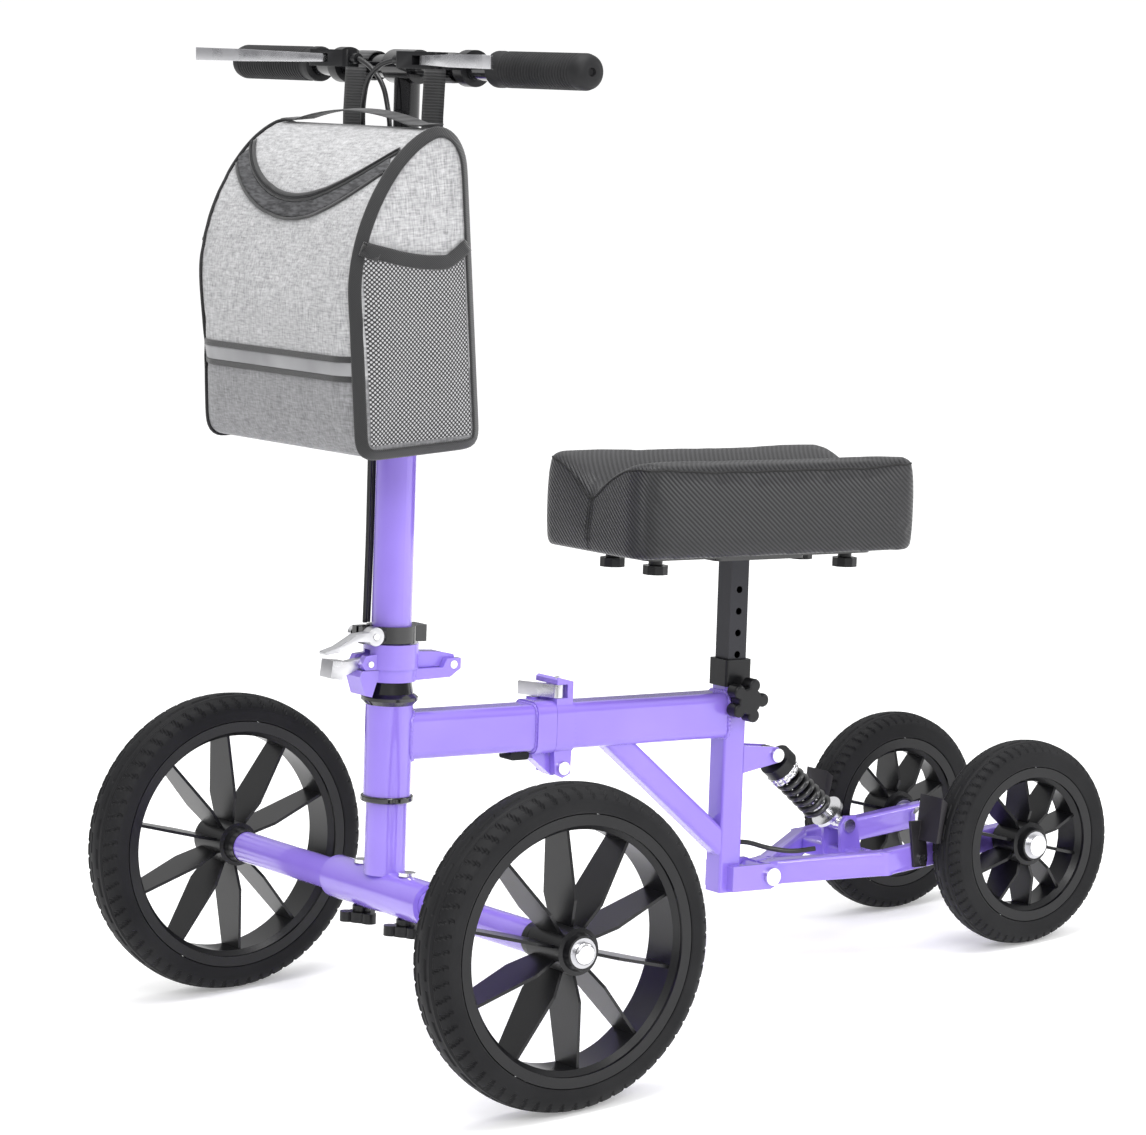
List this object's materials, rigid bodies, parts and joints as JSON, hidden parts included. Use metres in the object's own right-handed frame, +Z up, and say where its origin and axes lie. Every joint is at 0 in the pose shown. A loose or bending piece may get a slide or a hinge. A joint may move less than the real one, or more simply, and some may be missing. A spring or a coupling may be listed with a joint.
{
  "type": "knee scooter",
  "caption": "Folding all-terrain knee scooter with knee pad, steering stem, hand brakes, spring suspension and a handlebar bag.",
  "frame": {"origin": "on the ground, centre of the overall box", "axes": "+Z up, -Y forward, +X to the rider's left"},
  "size_m": [0.688, 0.963, 0.9567],
  "materials": {
    "lavender_paint": "gloss",
    "black_paint": "gloss",
    "polished_steel": "polished",
    "bearing_steel": "satin",
    "black_plastic": "satin",
    "black_rubber": "matte",
    "tyre_rubber": "matte",
    "pad_vinyl": "satin",
    "grey_fabric": "matte",
    "black_webbing": "matte",
    "cable_jacket": "satin"
  },
  "bodies": {
    "front_frame": {"front_frame": "lavender_paint", "headset_cups": "black_paint", "headset_bearings": "bearing_steel", "frame_fold_stop": "black_rubber"},
    "steering": {"steering_column": "lavender_paint", "front_axle_tubes": "lavender_paint", "front_axle_end_caps": "black_plastic", "axle_lock_bolts": "polished_steel", "axle_lock_knobs": "black_plastic", "front_axle_bolts": "polished_steel", "front_wheel_bearings": "bearing_steel", "column_fold_pin": "polished_steel"},
    "column": {"column_fold_casting": "lavender_paint", "inner_post": "polished_steel", "column_latch_pin": "polished_steel"},
    "column_latch": {"column_latch_lever": "polished_steel"},
    "stem": {"stem_tube": "lavender_paint", "handlebar_stem": "black_paint", "handlebar": "black_paint", "handlebar_grips": "black_rubber", "brake_lever_mounts": "black_plastic", "height_collar": "black_paint", "height_release_bolt": "polished_steel", "bag": "grey_fabric", "bag_straps": "black_webbing", "brake_cable_left": "cable_jacket", "brake_cable_right": "cable_jacket"},
    "height_release": {"height_release_lever": "polished_steel"},
    "rear_frame": {"rear_frame": "lavender_paint", "frame_hinge_pins": "polished_steel", "seat_tube_collar": "black_plastic", "suspension_bolts": "polished_steel", "rear_brake_cable": "cable_jacket"},
    "frame_latch": {"frame_latch_lever": "polished_steel"},
    "seat_turn_knob": {"seat_knob": "black_plastic"},
    "seat": {"seat_post": "black_paint", "pad_plate": "black_paint", "pad_knobs": "black_plastic", "knee_pad": "pad_vinyl"},
    "swing": {"swing_arm": "lavender_paint", "swing_arm_bolts": "polished_steel", "rear_axle_bolts": "polished_steel", "rear_axle_spacers": "bearing_steel", "rear_wheel_bearings": "bearing_steel"},
    "damper": {"shock_body": "black_plastic", "shock_spring": "black_plastic"},
    "damper_rod": {"shock_rod": "polished_steel"},
    "front_roller_left": {"front_wheel_left": "black_plastic", "front_tyre_left": "tyre_rubber"},
    "rear_roller_left": {"rear_wheel_left": "black_plastic", "rear_tyre_left": "tyre_rubber"},
    "lever_left": {"brake_lever_left": "polished_steel"},
    "shoe_left": {"rear_brake_shoe_left": "black_plastic"},
    "front_roller_right": {"front_wheel_right": "black_plastic", "front_tyre_right": "tyre_rubber"},
    "rear_roller_right": {"rear_wheel_right": "black_plastic", "rear_tyre_right": "tyre_rubber"},
    "lever_right": {"brake_lever_right": "polished_steel"},
    "shoe_right": {"rear_brake_shoe_right": "black_plastic"}
  },
  "joints": [
    {"name": "steer", "type": "hinge", "parent": "front_frame", "child": "steering", "pos_m": [0, -0.3173, 0.29147], "axis": [0, 0.0872, 0.9962], "range_deg": [-45, 45]},
    {"name": "column_fold", "type": "hinge", "parent": "steering", "child": "column", "pos_m": [0, -0.24865, 0.36476], "axis": [-1, 0, 0], "range_deg": [0, 40]},
    {"name": "column_latch_turn", "type": "hinge", "parent": "column", "child": "column_latch", "pos_m": [0, -0.34095, 0.37685], "axis": [1, 0, 0], "range_deg": [-45, 0]},
    {"name": "height", "type": "slide", "parent": "column", "child": "stem", "axis": [0, 0.0872, 0.9962], "range_m": [0, 0.13]},
    {"name": "height_release_turn", "type": "hinge", "parent": "stem", "child": "height_release", "pos_m": [0.017, -0.33895, 0.40428], "axis": [-1, 0, 0], "range_deg": [0, 100]},
    {"name": "frame_fold", "type": "hinge", "parent": "front_frame", "child": "rear_frame", "pos_m": [0, -0.12765, 0.24476], "axis": [-1, 0, 0], "range_deg": [0, 95]},
    {"name": "frame_latch_turn", "type": "hinge", "parent": "rear_frame", "child": "frame_latch", "pos_m": [0.013, -0.128, 0.32108], "axis": [0, 0.0872, 0.9962], "range_deg": [0, 110]},
    {"name": "seat_knob_turn", "type": "hinge", "parent": "rear_frame", "child": "seat_turn_knob", "pos_m": [0.02, 0.0896, 0.28397], "axis": [1, 0, 0], "continuous": true},
    {"name": "seat_height", "type": "slide", "parent": "rear_frame", "child": "seat", "axis": [0, 0.0872, 0.9962], "range_m": [-0.088, 0.022]},
    {"name": "suspension", "type": "hinge", "parent": "rear_frame", "child": "swing", "pos_m": [0, 0.11739, 0.09684], "axis": [1, 0, 0], "range_deg": [-2, 5]},
    {"name": "shock_tilt", "type": "hinge", "parent": "rear_frame", "child": "damper", "pos_m": [0, 0.13753, 0.21805], "axis": [1, 0, 0], "range_deg": [-3, 4]},
    {"name": "shock_travel", "type": "slide", "parent": "damper", "child": "damper_rod", "axis": [0, 0.7069, -0.7073], "range_m": [-0.012, 0.006], "deforming": ["shock_spring"]},
    {"name": "front_axle_left", "type": "hinge", "parent": "steering", "child": "front_roller_left", "pos_m": [0.305, -0.3295, 0.152], "axis": [1, 0, 0], "continuous": true},
    {"name": "rear_axle_left", "type": "hinge", "parent": "swing", "child": "rear_roller_left", "pos_m": [0.108, 0.3755, 0.106], "axis": [1, 0, 0], "continuous": true},
    {"name": "brake_lever_turn_left", "type": "hinge", "parent": "stem", "child": "lever_left", "pos_m": [0.09, -0.294, 0.94793], "axis": [0, 0.0872, 0.9962], "range_deg": [0, 8]},
    {"name": "brake_shoe_turn_left", "type": "hinge", "parent": "swing", "child": "shoe_left", "pos_m": [0.083, 0.26464, 0.10102], "axis": [-1, 0, 0], "range_deg": [0, 3.5]},
    {"name": "front_axle_right", "type": "hinge", "parent": "steering", "child": "front_roller_right", "pos_m": [-0.305, -0.3295, 0.152], "axis": [1, 0, 0], "continuous": true},
    {"name": "rear_axle_right", "type": "hinge", "parent": "swing", "child": "rear_roller_right", "pos_m": [-0.108, 0.3755, 0.106], "axis": [1, 0, 0], "continuous": true},
    {"name": "brake_lever_turn_right", "type": "hinge", "parent": "stem", "child": "lever_right", "pos_m": [-0.09, -0.294, 0.94793], "axis": [0, -0.0872, -0.9962], "range_deg": [0, 8]},
    {"name": "brake_shoe_turn_right", "type": "hinge", "parent": "swing", "child": "shoe_right", "pos_m": [-0.083, 0.26464, 0.10102], "axis": [-1, 0, 0], "range_deg": [0, 3.5]}
  ],
  "couplings": [
    {"joint": "shock_tilt", "follows": "suspension", "ratio": 0.414},
    {"joint": "shock_travel", "follows": "suspension", "m_per_rad": -0.0999},
    {"joint": "brake_shoe_turn_left", "follows": "brake_lever_turn_left", "ratio": 0.35},
    {"joint": "brake_shoe_turn_right", "follows": "brake_lever_turn_right", "ratio": 0.35}
  ]
}
